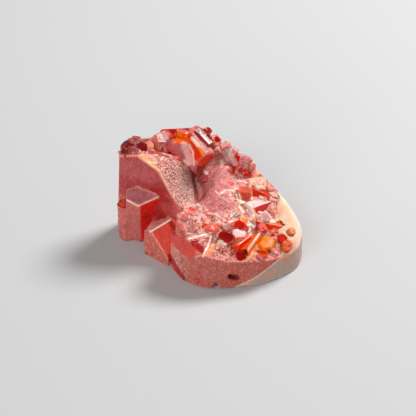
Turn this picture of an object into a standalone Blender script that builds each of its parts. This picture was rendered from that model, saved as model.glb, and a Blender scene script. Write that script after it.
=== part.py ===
"""A vanadinite druse on pale matrix, cut as a small free-form cabochon.

Red hexagonal crystals have grown together into one crust over a wedge of cream matrix. The back is sawn
flat, the right-hand, front and rear sides are ground, and the top and the left keep their natural faces.

The model stands on its sawn back: +Z is up, +X is to the right and -Y is the front. The origin is the centre
of the bounding box at the level of the back. Lengths are in millimetres, and MM turns them into metres.
"""

import math
import random
from dataclasses import dataclass

import bmesh
import bpy
from mathutils import Matrix, Vector, noise
from mathutils.geometry import intersect_point_line

MM = 0.001

# Driving dimensions
TOP_OF_BLANK = 11.0
BACK_CHAMFER = 0.14
MATRIX_SHOULDER = 0.75
SEAM = 0.05
SCATTER_SEED = 7
ROOM_ROUND_CRYSTALS = 0.62
GRID_SEED = 3

# The ground outline, seen from above, anticlockwise from the front-left corner
GROUND_OUTLINE = (
    (-2.30, -5.10),
    (-0.35, -6.12),
    (1.35, -6.14),
    (2.70, -5.96),
    (4.40, -5.56),
    (5.95, -4.72),
    (7.10, -3.85),
    (7.80, -3.05),
    (8.20, -2.05),
    (8.28, -0.80),
    (7.55, 0.85),
    (6.30, 2.45),
    (4.70, 3.95),
    (2.70, 5.25),
    (0.10, 6.05),
    (-2.80, 6.15),
    (-5.50, 5.65),
    (-7.60, 4.60),
    (-8.50, 3.40),
    (-9.00, 1.00),
    (-8.20, -1.20),
    (-5.60, -3.30),
    (-3.60, -3.90),
)

# The crystal mass stops at these natural faces on the left, where the larger crystals stand
MASS_OUTLINE = (
    (-8.10, 2.60),
    (-4.05, 0.40),
    (-2.35, -0.52),
    (-2.45, -1.90),
    (-2.95, -2.45),
    (-2.95, -3.70),
    (-2.30, -4.45),
    (-1.55, -5.35),
    (-1.40, -6.90),
    (9.20, -6.90),
    (9.20, 6.90),
    (-8.10, 6.90),
)
HIGHEST_MASS = 8.45

# The druse slopes down to the front and to the right, where it is a little thicker
SLOPE_HEIGHT = 3.05
SLOPE_AT = (1.8, -5.76)
SLOPE_FALL = (-0.293, 0.319)
RIGHT_SIDE_RISE = 0.26

# The matrix meets the crust in a surface that rises to the right and to the rear
CONTACT_AT = (2.12, -6.08)
CONTACT_RISE = (0.392, 0.362)


@dataclass
class Crystal:
    """A hexagonal prism: end is the centre of its free face, axis points out of that face."""

    name: str
    end: tuple
    axis: tuple
    flats: tuple
    length: float = 2.0
    turn: float = 0.0
    tip: float = 0.10


def even(apothem):
    """The six flats of an undistorted crystal."""
    return (apothem,) * 6


def mesh_object(name, bm, collection):
    """Puts a mesh that was modelled in millimetres into an object in metres."""
    bmesh.ops.transform(bm, matrix=Matrix.Scale(MM, 4), verts=bm.verts)
    bmesh.ops.recalc_face_normals(bm, faces=bm.faces)
    mesh = bpy.data.meshes.new(name)
    bm.to_mesh(mesh)
    bm.free()
    obj = bpy.data.objects.new(name, mesh)
    collection.objects.link(obj)
    return obj


def cleave(bm, point, normal):
    """Cuts away what lies beyond a plane and closes the cut with one face."""
    geometry = bm.verts[:] + bm.edges[:] + bm.faces[:]
    cut = bmesh.ops.bisect_plane(
        bm, geom=geometry, plane_co=point, plane_no=normal, clear_outer=True, dist=1e-5
    )
    rim = [item for item in cut["geom_cut"] if isinstance(item, bmesh.types.BMEdge)]
    if rim:
        bmesh.ops.contextual_create(bm, geom=rim)


def block(low, high):
    """A box between two corners."""
    low, high = Vector(low), Vector(high)
    bm = bmesh.new()
    place = Matrix.Translation((low + high) / 2) @ Matrix.Diagonal((*(high - low), 1))
    bmesh.ops.create_cube(bm, size=1.0, matrix=place)
    return bm


def crystal_frame(axis):
    """The crystal's own directions: across lies level, and rise completes the pair."""
    axis = Vector(axis).normalized()
    across = Vector((0, 0, 1)).cross(axis)
    if across.length < 0.05:
        across = Vector((1, 0, 0))
    across.normalize()
    return axis, across, axis.cross(across)


def crystal_mesh(crystal, swell=0.0):
    """A box cleaved along six prism faces, both ends and the narrow pyramid faces round the free end."""
    axis, across, rise = crystal_frame(crystal.axis)
    end = Vector(crystal.end)
    reach = crystal.length + 3.0
    bm = block((-reach,) * 3, (reach,) * 3)
    bmesh.ops.translate(bm, vec=end, verts=bm.verts)
    pyramid_lean = math.radians(39.4)
    for side, apothem in enumerate(crystal.flats):
        angle = math.radians(crystal.turn + 60 * side)
        outward = across * math.cos(angle) + rise * math.sin(angle)
        cleave(bm, end + outward * (apothem + swell), outward)
        if crystal.tip > 0:
            slant = outward * math.sin(pyramid_lean) + axis * math.cos(pyramid_lean)
            cleave(bm, end + outward * (apothem + swell - crystal.tip), slant)
    cleave(bm, end + axis * swell, axis)
    cleave(bm, end - axis * (crystal.length + swell), -axis)
    return bm


def outline_curve(name, points, smooth):
    """A flat closed outline as a 2D curve; smooth ones pass through their points in one round line."""
    curve = bpy.data.curves.new(name, "CURVE")
    curve.dimensions = "2D"
    curve.fill_mode = "BOTH"
    curve.extrude = TOP_OF_BLANK / 2 * MM
    curve.resolution_u = 3
    spline = curve.splines.new("BEZIER" if smooth else "POLY")
    if smooth:
        spline.bezier_points.add(len(points) - 1)
        for knot, (x, y) in zip(spline.bezier_points, points):
            knot.co = (x * MM, y * MM, 0)
            knot.handle_left_type = knot.handle_right_type = "AUTO"
    else:
        spline.points.add(len(points) - 1)
        for knot, (x, y) in zip(spline.points, points):
            knot.co = (x * MM, y * MM, 0, 1)
    spline.use_cyclic_u = True
    return bpy.data.objects.new(name, curve)


def outline_mesh(name, points, smooth):
    """The outline's prism, from the level of the back up, as a mesh in millimetres."""
    drawn = outline_curve(name, points, smooth)
    bpy.context.scene.collection.objects.link(drawn)
    bpy.context.view_layer.update()
    graph = bpy.context.evaluated_depsgraph_get()
    mesh = bpy.data.meshes.new_from_object(drawn.evaluated_get(graph))
    bm = bmesh.new()
    bm.from_mesh(mesh)
    bmesh.ops.transform(bm, matrix=Matrix.Scale(1 / MM, 4), verts=bm.verts)
    bmesh.ops.remove_doubles(bm, verts=bm.verts, dist=0.001)
    bmesh.ops.translate(bm, vec=(0, 0, TOP_OF_BLANK / 2), verts=bm.verts)
    bmesh.ops.dissolve_limit(
        bm, angle_limit=math.radians(1), verts=bm.verts, edges=bm.edges
    )
    bpy.data.objects.remove(drawn)
    bpy.data.meshes.remove(mesh)
    return bm


def bevel_level_edges(bm, low, high, width, segments):
    """Rounds the outline's edge loop that lies between two heights."""
    edges = []
    for edge in bm.edges:
        heights = [vert.co.z for vert in edge.verts]
        flat_faces = [face for face in edge.link_faces if abs(face.normal.z) > 0.7]
        if low <= min(heights) and max(heights) <= high and len(flat_faces) == 1:
            edges.append(edge)
    bmesh.ops.bevel(
        bm,
        geom=edges,
        offset=width,
        segments=segments,
        profile=0.5,
        affect="EDGES",
        clamp_overlap=True,
    )


def ground_blank(name, collection):
    """What grinding left: nothing of the crust stands outside this form."""
    bm = outline_mesh(name, GROUND_OUTLINE, smooth=True)
    bm.normal_update()
    bevel_level_edges(bm, -0.01, 0.01, BACK_CHAMFER, 1)
    return mesh_object(name, bm, collection)


def slope(x, y):
    """Height of the general slope of the druse."""
    return (
        SLOPE_HEIGHT
        + SLOPE_FALL[0] * (x - SLOPE_AT[0])
        + SLOPE_FALL[1] * (y - SLOPE_AT[1])
    )


def swelling(x, y, centre, spread):
    """A rounded rise of height 1 at centre."""
    return math.exp(
        -(((x - centre[0]) / spread[0]) ** 2) - ((y - centre[1]) / spread[1]) ** 2
    )


def druse_height(x, y):
    """Height of the intergrown mass between the larger crystals."""
    height = slope(x, y)
    height += 0.60 * swelling(x, y, (1.20, 3.4), (0.9, 2.2))
    height += 0.80 * swelling(x, y, (1.10, 0.2), (1.5, 1.9))
    height += 0.62 * swelling(x, y, (-2.0, -3.1), (1.4, 1.2))
    height -= 2.10 * swelling(x, y, (-1.70, 1.7), (1.35, 2.0))
    height -= 0.80 * swelling(x, y, (-3.1, 0.1), (1.0, 0.9))
    height -= 0.50 * swelling(x, y, (-1.9, -1.1), (0.8, 0.8))
    height -= 0.45 * swelling(x, y, (1.9, -3.3), (1.6, 0.7))
    height += RIGHT_SIDE_RISE / (1 + math.exp(-2.5 * (x - 2.6)))
    height += 0.22 * noise.noise(Vector((x * 0.9, y * 0.9, 3.1)))
    height += 0.16 * noise.noise(Vector((x * 2.1, y * 2.1, 8.7)))
    return min(height, HIGHEST_MASS + 0.25 * noise.noise(Vector((x * 1.3, y * 1.3, 5.2))))


def contact_height(x, y):
    """Height of the uneven surface where the crust sits on the matrix."""
    height = CONTACT_RISE[0] * (x - CONTACT_AT[0]) + CONTACT_RISE[1] * (
        y - CONTACT_AT[1]
    )
    return height + 0.30 * noise.noise(Vector((x * 0.55, y * 0.55, 1.7)))


def height_block(name, height, cell, unevenness, floor, collection):
    """A block whose top follows height(x, y), on a grid that is uneven by a share of its cells."""
    chance = random.Random(GRID_SEED)
    half_x, half_y = 9.6, 7.2
    columns, rows = round(2 * half_x / cell), round(2 * half_y / cell)
    bm = bmesh.new()
    bmesh.ops.create_grid(
        bm,
        x_segments=columns,
        y_segments=rows,
        size=1.0,
        matrix=Matrix.Diagonal((half_x, half_y, 1, 1)),
    )
    top = bm.faces[:]
    lower = bmesh.ops.extrude_face_region(bm, geom=top)["geom"]
    for item in lower:
        if isinstance(item, bmesh.types.BMVert):
            if abs(item.co.x) < half_x - 0.01 and abs(item.co.y) < half_y - 0.01:
                item.co.x += chance.uniform(-1, 1) * unevenness * cell
                item.co.y += chance.uniform(-1, 1) * unevenness * cell
            item.co.z = height(item.co.x, item.co.y)
    moved = {item for item in lower if isinstance(item, bmesh.types.BMVert)}
    for vert in bm.verts:
        if vert not in moved:
            vert.co.z = floor
    bmesh.ops.triangulate(bm, faces=bm.faces, quad_method="FIXED")
    return mesh_object(name, bm, collection)


def left_ridge(name, collection):
    """The tall wedge on the left: a smooth steep wall, and broken faces down into the hollow behind."""
    bm = block((-8.6, -2.0, -0.6), (-1.0, 5.2, 10.5))
    cleave(bm, (-6.53, 1.59, 5.0), (-0.475, -0.880, 0.0))
    cleave(bm, (-8.26, 2.70, 5.0), (-0.999, 0.0, 0.028))
    cleave(bm, (-6.39, 1.51, 9.14), (0.396, -0.139, 0.907))
    cleave(bm, (-4.59, 0.54, 8.20), (0.731, -0.431, 0.528))
    cleave(bm, (-7.20, 3.20, 9.05), (-0.42, -0.14, 0.897))
    cleave(bm, (-1.50, 2.60, 5.50), (0.97, 0.14, 0.20))
    cleave(bm, (-5.50, 3.25, 8.20), (0.0, 0.97, 0.24))
    return mesh_object(name, bm, collection)


def front_block(name, collection):
    """A large crystal at the front left, cut off by the ground face that looks out to the front left."""
    bm = block((-6.5, -4.6, -0.6), (-1.4, 2.2, 3.9))
    cleave(bm, (-5.40, -1.24, 0.0), (-0.684, -0.729, 0.03))
    cleave(bm, (-6.02, -0.50, 1.0), (-0.98, 0.18, 0.05))
    cleave(bm, (-5.90, -0.80, 2.45), (-0.80, -0.10, 0.59))
    cleave(bm, (-5.36, -1.29, 2.82), (0.016, -0.516, 0.857))
    cleave(bm, (-5.36, -1.29, 2.76), (0.172, -0.714, 0.678))
    cleave(bm, (-5.97, -0.66, 3.00), (-0.30, 0.95, 0.0))
    return mesh_object(name, bm, collection)


def front_foot(name, collection):
    """The front-left corner: a dark lower face, a smooth face above it and a window beside the rim."""
    bm = block((-3.02, -6.9, -0.6), (0.9, -1.2, 5.2))
    cleave(bm, (-2.25, -5.13, 0.0), (-0.864, -0.504, 0.0))
    cleave(bm, (-2.70, -4.41, 1.71), (-0.726, -0.683, 0.060))
    cleave(bm, (-1.80, -4.95, 4.66), (0.396, -0.563, 0.728))
    cleave(bm, (-2.30, -3.40, 4.95), (0.20, -0.20, 0.96))
    cleave(bm, (-2.85, -2.75, 4.85), (-0.70, 0.20, 0.68))
    return mesh_object(name, bm, collection)


def foot_shoulder(name, collection):
    """The low outer part of the front-left corner, which ends against the block behind it."""
    bm = block((-3.80, -6.9, -0.6), (-2.6, -2.0, 5.0))
    cleave(bm, (-2.25, -5.13, 0.0), (-0.864, -0.504, 0.0))
    cleave(bm, (-2.70, -4.41, 1.71), (-0.726, -0.683, 0.060))
    cleave(bm, (-3.40, -3.40, 4.18), (-0.35, 0.55, 0.76))
    cleave(bm, (-3.30, -2.90, 0.0), (-0.30, 0.95, 0.0))
    return mesh_object(name, bm, collection)


def crown_body(name, collection):
    """The large crystal under the crown, with a broad face to the front and a worn top."""
    bm = block((-4.70, 1.6, 5.0), (0.2, 5.9, 10.2))
    cleave(bm, (-1.55, 2.76, 7.02), (-0.210, -0.877, 0.432))
    cleave(bm, (-2.52, 3.29, 7.36), (-0.426, 0.216, -0.879))
    cleave(bm, (-2.40, 3.95, 8.92), (-0.06, -0.14, 0.99))
    cleave(bm, (-2.60, 3.90, 8.86), (-0.10, -0.52, 0.85))
    cleave(bm, (-3.55, 4.15, 8.68), (-0.42, -0.36, 0.83))
    cleave(bm, (-1.20, 3.00, 7.80), (0.88, -0.40, 0.25))
    return mesh_object(name, bm, collection)


LARGE_CRYSTALS = (
    Crystal("left_block", (-6.03, 0.63, 5.54), (0.0, -0.30, 0.954),
            (1.40, 1.20, 1.20, 1.50, 1.20, 0.95), 7.5, 0, 0.04),
    Crystal("left_pillar", (-7.72, 1.55, 4.00), (-0.04, -0.08, 0.99), even(0.62), 5.0, 8, 0.06),
    Crystal("crown_left", (-0.36, 3.15, 7.60), (0.53, -0.73, -0.42),
            (0.95, 0.98, 0.95, 0.95, 0.92, 0.98), 2.7, 20, 0.10),
    Crystal("crown_right", (-0.10, 4.00, 8.30), (0.70, -0.57, -0.42),
            (0.55, 0.72, 0.55, 0.70, 0.70, 0.70), 1.9, 28, 0.08),
    Crystal("crown_bead", (0.66, 4.72, 8.80), (0.50, -0.50, 0.70), even(0.52), 2.4, 20, 0.20),
    Crystal("crown_tip", (-0.09, 5.40, 9.45), (0.45, -0.10, 0.88), even(0.30), 1.8, 5, 0.08),
    Crystal("crown_ridge_1", (-3.50, 5.30, 9.02), (-0.45, 0.15, 0.88), even(0.62), 2.4, 14, 0.08),
    Crystal("crown_ridge_2", (-2.35, 5.45, 9.28), (0.15, 0.30, 0.94), even(0.66), 2.4, 33, 0.12),
    Crystal("crown_ridge_3", (-1.35, 5.30, 9.42), (-0.20, -0.10, 0.97), even(0.60), 2.4, 50, 0.10),
    Crystal("crown_ridge_4", (-0.70, 5.05, 9.50), (0.50, 0.10, 0.86), even(0.50), 2.4, 3, 0.08),
    Crystal("crown_flank", (-5.35, 4.55, 8.45), (-0.93, -0.30, 0.21), even(0.80), 2.4, 12, 0.50),
    Crystal("crown_side", (-4.25, 4.90, 9.00), (-0.30, -0.30, 0.90), even(0.66), 2.2, 25, 0.12),
    Crystal("hollow_crystal", (-0.45, 2.75, 6.00), (0.10, -0.45, 0.88), even(0.46), 2.0, 18, 0.10),
)

CAP_CRYSTALS = (
    Crystal("cap_1", (-7.62, 2.78, 8.92), (-0.55, -0.35, 0.76), even(0.46), 1.4, 10),
    Crystal("cap_2", (-6.75, 3.62, 9.48), (-0.10, -0.25, 0.96), even(0.56), 1.6, 35, 0.14),
    Crystal("cap_3", (-6.98, 2.38, 9.12), (-0.30, -0.60, 0.74), even(0.40), 1.4, 22),
    Crystal("cap_4", (-6.10, 2.72, 9.40), (0.15, -0.45, 0.88), even(0.44), 1.4, 48),
    Crystal("cap_5", (-7.62, 3.78, 9.02), (-0.55, 0.10, 0.83), even(0.52), 1.6, 3),
    Crystal("cap_6", (-5.45, 3.25, 9.12), (0.35, -0.55, 0.76), even(0.42), 1.4, 30),
    Crystal("cap_7", (-5.85, 3.95, 9.15), (-0.10, 0.20, 0.97), even(0.50), 1.4, 12),
    Crystal("cap_8", (-7.25, 3.05, 9.22), (-0.20, -0.20, 0.96), even(0.40), 1.4, 55),
    Crystal("cap_9", (-5.95, 4.75, 8.72), (-0.35, 0.45, 0.82), even(0.52), 1.4, 25),
    Crystal("cap_10", (-7.05, 4.55, 8.68), (-0.30, 0.50, 0.81), even(0.46), 1.4, 41),
)

SLOPE_CRYSTALS = (
    Crystal("slope_1", (3.12, 4.45, 7.22), (0.34, 0.42, 0.84), even(0.72), 3.0, 10, 0.16),
    Crystal("slope_2", (3.10, 1.25, 5.70), (0.10, 0.12, 0.99),
            (0.60, 0.70, 0.55, 0.66, 0.60, 0.55), 2.2, 20, 0.05),
    Crystal("slope_3", (4.30, 2.45, 5.50), (0.26, -0.22, 0.94),
            (1.15, 0.72, 0.80, 1.05, 0.70, 0.80), 1.8, 6, 0.08),
    Crystal("slope_4", (3.42, 2.12, 4.89), (-0.884, 0.025, 0.467), even(0.80), 2.9, 30, 0.06),
    Crystal("slope_5", (3.36, -0.22, 4.21), (-0.737, -0.654, 0.171), even(0.75), 3.5, 25, 0.06),
    Crystal("slope_6", (5.30, -0.85, 4.42), (0.72, 0.25, 0.42), even(0.44), 1.8, 0, 0.12),
    Crystal("slope_7", (3.95, -1.44, 3.78), (-0.912, -0.211, 0.352), even(0.60), 3.3, 25, 0.05),
    Crystal("slope_8", (6.45, -2.85, 3.25), (0.45, -0.45, 0.76),
            (0.44, 0.36, 0.50, 0.44, 0.36, 0.50), 1.3, 18, 0.05),
    Crystal("slope_9", (5.15, -3.65, 3.32), (0.16, -0.30, 0.94),
            (0.85, 0.70, 0.62, 0.80, 0.66, 0.60), 1.5, 12, 0.14),
    Crystal("slope_10", (4.75, -4.75, 2.92), (0.05, -0.60, 0.79), even(0.40), 1.2, 40, 0.10),
    Crystal("slope_11", (3.05, -5.05, 3.14), (-0.47, -0.88, -0.07),
            (0.42, 0.78, 0.42, 0.6, 0.6, 0.6), 2.6, 5, 0.06),
    Crystal("slope_12", (2.18, -4.85, 3.35), (-0.625, -0.781, 0.02),
            (0.40, 0.74, 0.40, 0.6, 0.6, 0.6), 2.0, 5, 0.06),
    Crystal("slope_13", (2.72, -5.50, 3.18), (0.10, -0.65, 0.75), even(0.46), 1.2, 10, 0.08),
    Crystal("slope_14", (1.42, -4.10, 4.32), (-0.20, -0.62, 0.76),
            (0.66, 0.42, 0.60, 0.62, 0.42, 0.60), 1.6, 12, 0.04),
    Crystal("slope_15", (2.60, -3.55, 4.30), (0.20, -0.20, 0.96),
            (0.62, 0.50, 0.56, 0.60, 0.46, 0.56), 1.6, 4, 0.06),
    Crystal("slope_16", (0.22, -3.40, 4.85), (0.05, -0.30, 0.95), even(0.52), 1.6, 15, 0.18),
    Crystal("slope_17", (4.65, -2.35, 4.10), (0.25, -0.35, 0.90), even(0.44), 1.4, 44, 0.06),
    Crystal("slope_18", (2.62, -2.75, 4.66), (-0.30, -0.50, 0.81),
            (0.50, 0.36, 0.44, 0.46, 0.36, 0.48), 1.5, 17, 0.05),
    Crystal("slope_19", (5.55, 2.75, 5.02), (0.55, 0.10, 0.83), even(0.42), 1.5, 26, 0.08),
    Crystal("slope_20", (2.10, 4.90, 7.72), (0.35, 0.25, 0.90), even(0.50), 2.0, 40, 0.08),
    Crystal("slope_21", (1.30, 4.95, 8.12), (-0.35, 0.05, 0.93), even(0.44), 1.8, 21, 0.06),
    Crystal("slope_22", (3.85, 4.35, 6.50), (0.45, 0.00, 0.89), even(0.42), 1.6, 8, 0.08),
)

EDGE_CRYSTALS = (
    Crystal("edge_crystal_1", (7.40, -2.00, 3.42), (0.45, -0.30, 0.84), even(0.32), 1.0, 5, 0.05),
    Crystal("edge_crystal_2", (6.92, -3.55, 3.02), (0.25, -0.50, 0.83), even(0.46), 1.2, 25, 0.06),
)


def distance_in_plan(crystal, x, y):
    """How far a point lies from the middle line of a crystal, both seen from above."""
    end = Vector(crystal.end[:2])
    root = end - Vector(crystal.axis).normalized().to_2d() * crystal.length
    nearest, share = intersect_point_line(Vector((x, y)), end, root)
    if share < 0:
        nearest = end
    elif share > 1:
        nearest = root
    return (Vector((x, y)) - nearest.to_2d()).length


def scattered_crystals():
    """Small crystals over the druse, each leaning its own way out of the slope."""
    chance = random.Random(SCATTER_SEED)
    outward = Vector((-SLOPE_FALL[0], -SLOPE_FALL[1], 1)).normalized()
    crystals = []
    for number in range(1, 201):
        x = chance.uniform(-2.4, 7.4)
        y = chance.uniform(-5.6, 5.8)
        lean = Vector([chance.uniform(-1.0, 1.0) for _ in range(3)])
        size = chance.uniform(0.18, 0.46)
        turn = chance.uniform(0, 60)
        out = chance.uniform(0.06, 0.26)
        on_the_right = x > 2.8 and y > -2.4
        at_the_front = y < -2.2 and x > -0.3 - 0.9 * (y + 3.6)
        at_the_back = y > 4.3
        thick_enough = druse_height(x, y) - contact_height(x, y) > 0.35
        if not (on_the_right or at_the_front or at_the_back) or not thick_enough:
            continue
        nearest = min(distance_in_plan(crystal, x, y) for crystal in SLOPE_CRYSTALS)
        if nearest < ROOM_ROUND_CRYSTALS:
            continue
        axis = (outward + lean).normalized()
        root = Vector((x, y, druse_height(x, y)))
        end = root + axis * out
        flats = tuple(size * chance.uniform(0.7, 1.3) for _ in range(6))
        name = f"small_{number}"
        crystals.append(Crystal(name, tuple(end), tuple(axis), flats, out + 0.6, turn, size * 0.2))
    return crystals


def notches(collection):
    """Nicks in the ground front: one through the bottom edge and one pit above it."""
    nick = block((0.24, -6.9, -0.5), (0.88, -5.62, 1.05))
    cleave(nick, (0.88, -6.0, 0.25), (0.90, 0.0, 0.43))
    cleave(nick, (0.24, -6.0, 0.35), (-0.88, 0.0, 0.47))
    mesh_object("bottom_nick", nick, collection)
    pit = block((1.62, -6.9, 1.05), (2.42, -5.62, 1.62))
    cleave(pit, (1.62, -6.0, 1.25), (-0.6, 0.0, -0.8))
    cleave(pit, (2.42, -6.0, 1.35), (0.35, 0.0, 0.94))
    mesh_object("front_pit", pit, collection)
    mouth, along, inward = Vector((-3.70, -2.84, 0)), Vector((0.729, -0.684, 0)), Vector((0.684, 0.729, 0))
    cleft = block((-4.6, -4.2, -0.5), (-2.8, -1.8, 1.9))
    cleave(cleft, mouth - along * 0.20, -along + Vector((0, 0, 0.16)))
    cleave(cleft, mouth + along * 0.24, along + Vector((0, 0, 0.12)))
    cleave(cleft, mouth + inward * 0.50, inward + Vector((0, 0, 0.20)))
    mesh_object("left_cleft", cleft, collection)


def boolean(obj, operation, other):
    """Adds a Boolean with one object or with all of a collection.

    The exact solver leaves open edges where this many crystals meet, and the manifold solver leaves none.
    """
    modifier = obj.modifiers.new(operation.lower(), "BOOLEAN")
    modifier.operation = operation
    modifier.solver = "MANIFOLD"
    if isinstance(other, bpy.types.Collection):
        modifier.operand_type = "COLLECTION"
        modifier.collection = other
    else:
        modifier.object = other


def matrix_blank(name, collection):
    """The matrix's own ground form: the outline, rounded at the shoulder, under a sloping top."""
    bm = outline_mesh(name, GROUND_OUTLINE, smooth=True)
    at = Vector((7.40, -1.50, 3.35))
    cleave(bm, at, Vector((0.24, -0.34, 1)).normalized())
    bm.normal_update()
    bevel_level_edges(bm, 0.6, TOP_OF_BLANK, MATRIX_SHOULDER, 5)
    bm.normal_update()
    bevel_level_edges(bm, -0.01, 0.01, BACK_CHAMFER, 1)
    return mesh_object(name, bm, collection)


def finish(name, rgb, roughness):
    """The material of one piece."""
    material = bpy.data.materials.new(name)
    material.use_nodes = True
    shader = material.node_tree.nodes["Principled BSDF"]
    shader.inputs["Base Color"].default_value = (*rgb, 1)
    shader.inputs["Roughness"].default_value = roughness
    return material


def hidden_collection(name):
    """A collection for cutters and guides, which are no pieces of the object."""
    collection = bpy.data.collections.new(name)
    bpy.context.scene.collection.children.link(collection)
    return collection


def hide(collection):
    for obj in collection.all_objects:
        obj.hide_render = True
        obj.display_type = "WIRE"


def stand_on_origin(pieces):
    """Moves the pieces so that the centre of their common box, at its bottom, is the origin."""
    bpy.context.view_layer.update()
    graph = bpy.context.evaluated_depsgraph_get()
    corners = [
        piece.matrix_world @ Vector(corner)
        for piece in pieces
        for corner in piece.evaluated_get(graph).bound_box
    ]
    low = Vector([min(corner[i] for corner in corners) for i in range(3)])
    high = Vector([max(corner[i] for corner in corners) for i in range(3)])
    shift = Vector((-(low.x + high.x) / 2, -(low.y + high.y) / 2, -low.z))
    for piece in pieces:
        piece.data.transform(Matrix.Translation(shift))


def shells(bm):
    """The mesh's separate closed surfaces, each as a list of its vertices."""
    left = set(bm.verts)
    found = []
    while left:
        shell, front = [], [left.pop()]
        while front:
            vert = front.pop()
            shell.append(vert)
            for edge in vert.link_edges:
                other = edge.other_vert(vert)
                if other in left:
                    left.remove(other)
                    front.append(other)
        found.append(shell)
    return sorted(found, key=len)


def freeze(obj):
    """Replaces an object's mesh by the result of its modifiers, without loose chips or sealed hollows."""
    bpy.context.view_layer.update()
    graph = bpy.context.evaluated_depsgraph_get()
    mesh = bpy.data.meshes.new_from_object(obj.evaluated_get(graph))
    obj.modifiers.clear()
    bm = bmesh.new()
    bm.from_mesh(mesh)
    for shell in shells(bm)[:-1]:
        bmesh.ops.delete(bm, geom=shell, context="VERTS")
    for face in bm.faces:
        face.smooth = False
    bm.to_mesh(mesh)
    bm.free()
    obj.data = mesh


def build():
    for obj in list(bpy.data.objects):
        bpy.data.objects.remove(obj)
    druse = bpy.data.collections.new("vanadinite_druse")
    bpy.context.scene.collection.children.link(druse)
    cutters = hidden_collection("cutters")
    deep = hidden_collection("deep_crystals")
    upper = hidden_collection("upper_crystals")
    nicks = hidden_collection("nicks")
    pockets = hidden_collection("pockets")

    blank = ground_blank("ground_blank", cutters)
    mass_limit = mesh_object(
        "mass_limit", outline_mesh("mass_limit", MASS_OUTLINE, smooth=False), cutters
    )
    bed = height_block("bed", contact_height, 1.2, 0.2, -8.0, cutters)
    raised_bed = height_block(
        "raised_bed", lambda x, y: contact_height(x, y) + SEAM, 1.2, 0.2, -8.0, cutters
    )
    left_ridge("left_ridge", deep)
    front_block("front_block", deep)
    front_foot("front_foot", deep)
    foot_shoulder("foot_shoulder", deep)
    crown_body("crown_body", deep)
    mesh_object("crevice_floor", block((-5.65, -0.98, -0.6), (-2.0, 1.6, 0.9)), deep)
    for crystal in LARGE_CRYSTALS:
        mesh_object(crystal.name, crystal_mesh(crystal), deep)
    for crystal in (*CAP_CRYSTALS, *SLOPE_CRYSTALS, *scattered_crystals()):
        mesh_object(crystal.name, crystal_mesh(crystal), upper)
        mesh_object(crystal.name + "_pocket", crystal_mesh(crystal, SEAM), pockets)
    notches(nicks)

    crust = height_block("crystal_crust", druse_height, 0.5, 0.28, -0.5, druse)
    boolean(crust, "INTERSECT", mass_limit)
    boolean(crust, "UNION", deep)
    boolean(crust, "DIFFERENCE", raised_bed)
    boolean(crust, "UNION", upper)
    boolean(crust, "INTERSECT", blank)
    boolean(crust, "DIFFERENCE", nicks)
    crust.data.materials.append(finish("vanadinite", (0.55, 0.09, 0.05), 0.25))

    matrix = matrix_blank("matrix", druse)
    boolean(matrix, "INTERSECT", bed)
    boolean(matrix, "DIFFERENCE", pockets)
    matrix.data.materials.append(finish("matrix", (0.80, 0.70, 0.60), 0.5))

    pieces = [crust, matrix]
    for crystal in EDGE_CRYSTALS:
        mesh_object(crystal.name + "_pocket", crystal_mesh(crystal, SEAM), pockets)
        piece = mesh_object(crystal.name, crystal_mesh(crystal), druse)
        piece.data.materials.append(finish(crystal.name, (0.80, 0.25, 0.05), 0.25))
        pieces.append(piece)

    for collection in (cutters, deep, upper, nicks, pockets):
        hide(collection)
    for piece in pieces:
        freeze(piece)
    stand_on_origin(pieces)


build()
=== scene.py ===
"""The looks of a vanadinite druse on cream matrix, a small ground cabochon.

The crust and the matrix are remeshed finely, roughened where the mineral is granular and coloured in the
natural zones of the druse. Some of that colour is painted light and shade: painted highlights on crests,
edges, bars and glints, painted shade in grooves, the hollow and a pit, a painted glow where crystal is
thin, and painted shade in part of the tan of the matrix's sawn walls. The larger single crystals are a
crisp piece of their own over the crust, and small ones another. Lengths are in millimetres until a finished
mesh is scaled to metres. Frost is how milky and dull a place is, from 0 to 1.
"""

import itertools
import math
import random

import bmesh
import bpy
import numpy as np
from mathutils import Matrix, Vector
from mathutils.bvhtree import BVHTree


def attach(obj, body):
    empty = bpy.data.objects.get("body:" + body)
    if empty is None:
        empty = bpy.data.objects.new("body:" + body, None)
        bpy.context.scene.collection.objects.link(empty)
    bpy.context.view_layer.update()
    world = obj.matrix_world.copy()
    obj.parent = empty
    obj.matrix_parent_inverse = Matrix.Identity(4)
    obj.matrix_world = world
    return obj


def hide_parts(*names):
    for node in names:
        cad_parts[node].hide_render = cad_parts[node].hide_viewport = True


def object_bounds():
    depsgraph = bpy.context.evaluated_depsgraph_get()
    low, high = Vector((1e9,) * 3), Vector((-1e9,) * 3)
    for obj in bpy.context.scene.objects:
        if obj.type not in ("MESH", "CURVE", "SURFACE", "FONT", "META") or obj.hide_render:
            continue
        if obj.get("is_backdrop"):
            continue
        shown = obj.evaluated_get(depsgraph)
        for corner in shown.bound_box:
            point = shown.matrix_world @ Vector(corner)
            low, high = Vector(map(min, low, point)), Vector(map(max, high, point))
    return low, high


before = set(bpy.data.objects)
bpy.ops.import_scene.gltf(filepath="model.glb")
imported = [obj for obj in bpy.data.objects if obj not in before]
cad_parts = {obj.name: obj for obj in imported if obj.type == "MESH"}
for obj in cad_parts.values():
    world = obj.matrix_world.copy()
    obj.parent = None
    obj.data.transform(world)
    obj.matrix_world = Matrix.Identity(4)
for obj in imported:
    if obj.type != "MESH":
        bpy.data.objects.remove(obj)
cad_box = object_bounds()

MM = 0.001

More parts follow.
